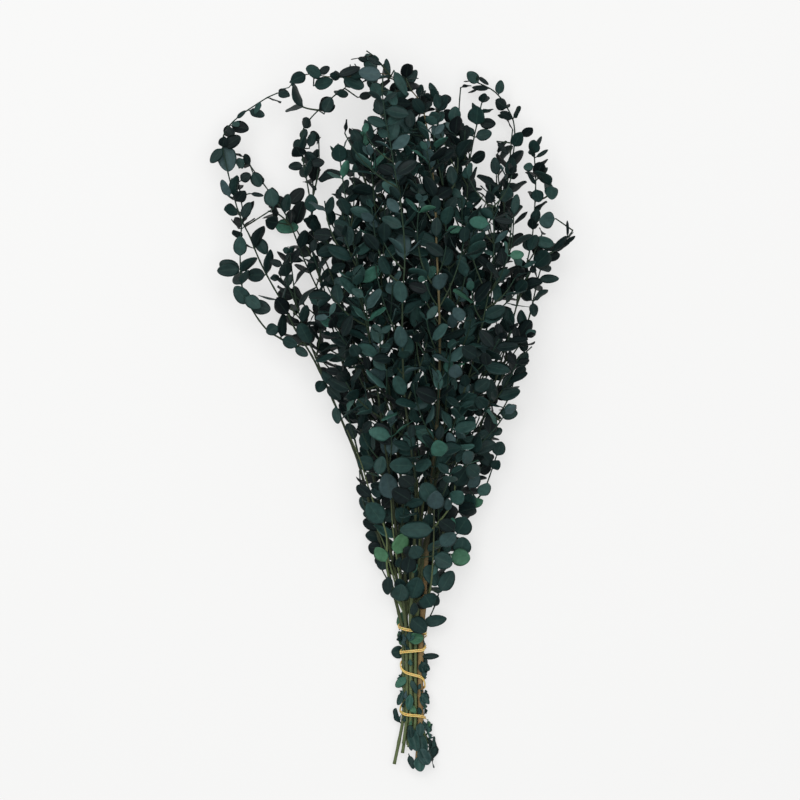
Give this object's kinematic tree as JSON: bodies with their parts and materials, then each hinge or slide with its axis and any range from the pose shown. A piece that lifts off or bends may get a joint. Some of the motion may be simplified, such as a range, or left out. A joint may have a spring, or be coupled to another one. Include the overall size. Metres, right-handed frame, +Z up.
{
  "type": "bunch of dried eucalyptus",
  "caption": "Cut bunch of small-leaved dried eucalyptus, lying on a surface, its leafy stems held near the cut ends by a wound rubber band.",
  "frame": {"origin": "middle of the bunch's outline at the height of the surface it lies on", "axes": "+Y from the cut ends to the leaf tips, +X across the bunch to the right seen from above, +Z up from the surface"},
  "size_m": [0.3196, 0.6428, 0.1229],
  "materials": {
    "leaf": "matt preserved leaf, dark teal green, slightly leathery",
    "bark": "dry fibrous brown bark",
    "band": "satin natural rubber, translucent yellow"
  },
  "bodies": {
    "root": {"stem_back_centre": "leaf", "stem_back_left": "leaf", "stem_back_right": "leaf", "stem_back_inner_left": "leaf", "stem_back_inner_right": "leaf", "stem_left": "leaf", "stem_right": "leaf", "stem_inner_left": "leaf", "stem_inner_right": "leaf", "stem_front_left": "leaf", "stem_front_right": "leaf", "stem_arching": "bark", "stem_front_centre": "leaf", "rubber_band": "band"}
  },
  "joints": []
}
